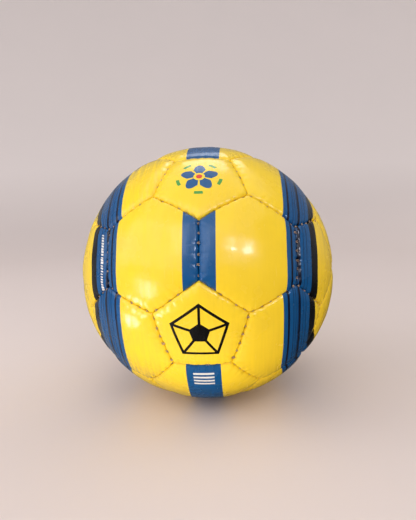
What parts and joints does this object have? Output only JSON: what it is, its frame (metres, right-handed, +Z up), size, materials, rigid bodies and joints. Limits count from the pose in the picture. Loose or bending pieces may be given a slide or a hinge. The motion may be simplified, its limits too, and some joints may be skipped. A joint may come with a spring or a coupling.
{
  "type": "mini soccer ball",
  "caption": "Small hand-sewn ball of pentagon and hexagon panels with turned-in seams, round a hollow rubber bladder with a needle valve and a plug that pulls out.",
  "frame": {"origin": "centre of the ball", "axes": "+Z up along the valve, through the centre of the valve's hexagon panel; -Y the front, towards the upright seam between two hexagons; +X to the right"},
  "size_m": [0.1388, 0.1398, 0.1399],
  "materials": {
    "cover": "semi-gloss printed",
    "thread": "waxed twisted thread",
    "bladder_latex": "matt",
    "patch_cloth": "woven",
    "valve_rubber": "matt",
    "plug_rubber": "matt"
  },
  "bodies": {
    "ball": {"bladder": "bladder_latex", "hexagon_bottom": "cover", "hexagon_high_back_left": "cover", "hexagon_high_back_right": "cover", "hexagon_high_front_left": "cover", "hexagon_high_front_right": "cover", "hexagon_high_left": "cover", "hexagon_high_right": "cover", "hexagon_low_back_left": "cover", "hexagon_low_back_right": "cover", "hexagon_low_front_left": "cover", "hexagon_low_front_right": "cover", "hexagon_low_left": "cover", "hexagon_low_right": "cover", "hexagon_lower_back_left": "cover", "hexagon_lower_back_right": "cover", "hexagon_lower_front": "cover", "hexagon_top": "cover", "hexagon_upper_back": "cover", "hexagon_upper_front_left": "cover", "hexagon_upper_front_right": "cover", "pentagon_high_back": "cover", "pentagon_high_front_left": "cover", "pentagon_high_front_right": "cover", "pentagon_low_back_left": "cover", "pentagon_low_back_right": "cover", "pentagon_low_front": "cover", "pentagon_lower_back": "cover", "pentagon_lower_front_left": "cover", "pentagon_lower_front_right": "cover", "pentagon_upper_back_left": "cover", "pentagon_upper_back_right": "cover", "pentagon_upper_front": "cover", "thread_closing_seam": "thread", "thread_lower_half": "thread", "thread_upper_half": "thread", "valve_housing": "valve_rubber", "valve_patch": "patch_cloth"},
    "plug": {"valve_core": "plug_rubber"}
  },
  "joints": [
    {"name": "valve_plug_pull", "type": "slide", "parent": "ball", "child": "plug", "axis": [0, 0, 1], "range_m": [0, 0.012]}
  ]
}
